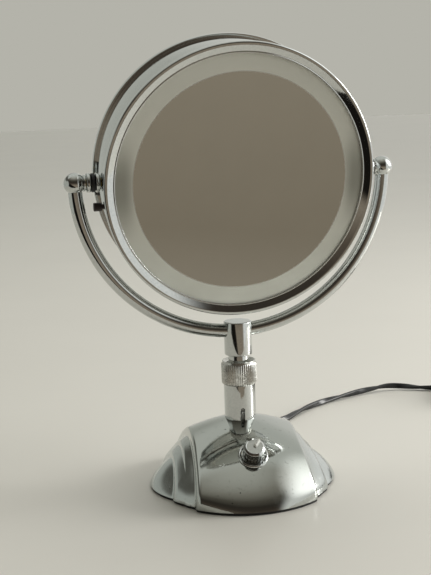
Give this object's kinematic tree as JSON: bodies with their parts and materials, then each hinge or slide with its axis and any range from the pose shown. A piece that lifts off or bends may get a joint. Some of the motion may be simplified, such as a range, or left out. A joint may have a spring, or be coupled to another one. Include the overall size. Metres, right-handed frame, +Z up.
{
  "type": "countertop mirror",
  "caption": "Lighted two-sided round mirror in a tube yoke on a short telescopic column over a stepped cast base, with a dimmer knob and a mains lead.",
  "frame": {"origin": "on the column's axis at the level of the table, under the middle of the base", "axes": "+Z up the column, -Y towards the user: the dimmer knob is on that side and the front mirror faces it; +X to the user's right"},
  "size_m": [0.458, 0.3097, 0.354],
  "materials": {
    "chrome": "bright chrome plate",
    "worn_chrome": "chrome plate on a die casting, hazed and speckled",
    "knurled_chrome": "chrome plate over a fine straight knurl",
    "steel": "zinc-plated steel",
    "cast_iron": "as cast",
    "brass": "turned brass",
    "black_plastic": "moulded black plastic",
    "cord_pvc": "glossy black PVC sheath over copper cores",
    "dark_plastic": "dark brown moulded plastic",
    "rubber": "black moulded rubber",
    "nylon": "natural nylon",
    "porcelain": "white heat-proof lampholder body",
    "frosted_glass": "acid-etched on the inside, unlit",
    "mirror_glass": "silvered glass",
    "white_enamel": "white baked enamel",
    "lamp_glass": "clear tubular lamp"
  },
  "bodies": {
    "base": {"base_shell": "worn_chrome", "foot_ring": "rubber", "base_plate": "steel", "ballast_weight": "cast_iron", "base_screw_1": "steel", "base_screw_2": "steel", "base_screw_3": "steel", "base_screw_4": "steel", "lower_tube": "chrome", "column_spigot": "steel", "spigot_nut": "brass", "key_pin": "steel", "collet": "nylon", "dimmer_body": "steel", "dimmer_nut": "brass", "knob_flange": "chrome", "cord_grommet": "black_plastic", "power_cord": "cord_pvc", "cord_coil": "cord_pvc", "cord_tie": "rubber", "cord_tail": "cord_pvc", "plug_body": "black_plastic", "plug_pin_1": "brass", "plug_pin_2": "brass"},
    "collar": {"lock_collar": "knurled_chrome"},
    "column": {"inner_tube": "chrome", "swivel_plug": "brass"},
    "yoke": {"hub": "chrome", "yoke_tube": "chrome", "ball_end_left": "chrome", "ball_end_right": "chrome", "yoke_bead_left": "chrome", "yoke_bead_right": "chrome", "friction_washer_left": "black_plastic", "friction_washer_right": "black_plastic", "pivot_axle_left": "brass", "pivot_axle_right": "brass"},
    "head": {"head_band": "chrome", "front_bezel": "chrome", "rear_bezel": "chrome", "front_diffuser": "frosted_glass", "rear_diffuser": "frosted_glass", "front_mirror": "mirror_glass", "rear_mirror": "mirror_glass", "front_reflector": "white_enamel", "rear_reflector": "white_enamel", "inner_drum": "white_enamel", "head_bead_left": "chrome", "head_bead_right": "chrome", "lampholder_left": "porcelain", "lampholder_right": "porcelain", "lamp_left": "lamp_glass", "lamp_right": "lamp_glass", "rim_screw": "dark_plastic"},
    "knob": {"dimmer_knob": "chrome", "dimmer_shaft": "steel"}
  },
  "joints": [
    {"name": "collar_turn", "type": "hinge", "parent": "base", "child": "collar", "pos_m": [0, 0, 0.09], "axis": [0, 0, 1], "range_deg": [0, 180]},
    {"name": "column_height", "type": "slide", "parent": "base", "child": "column", "axis": [0, 0, 1], "range_m": [0, 0.055]},
    {"name": "yoke_swivel", "type": "hinge", "parent": "column", "child": "yoke", "pos_m": [0, 0, 0.115], "axis": [0, 0, 1], "range_deg": [-170, 170]},
    {"name": "head_tilt", "type": "hinge", "parent": "yoke", "child": "head", "pos_m": [0, 0, 0.2463], "axis": [0.9962, 0.0872, 0], "range_deg": [-180, 180]},
    {"name": "dimmer_turn", "type": "hinge", "parent": "base", "child": "knob", "pos_m": [0, -0.05, 0.03611], "axis": [0, -0.6293, 0.7771], "range_deg": [-110, 190]}
  ]
}
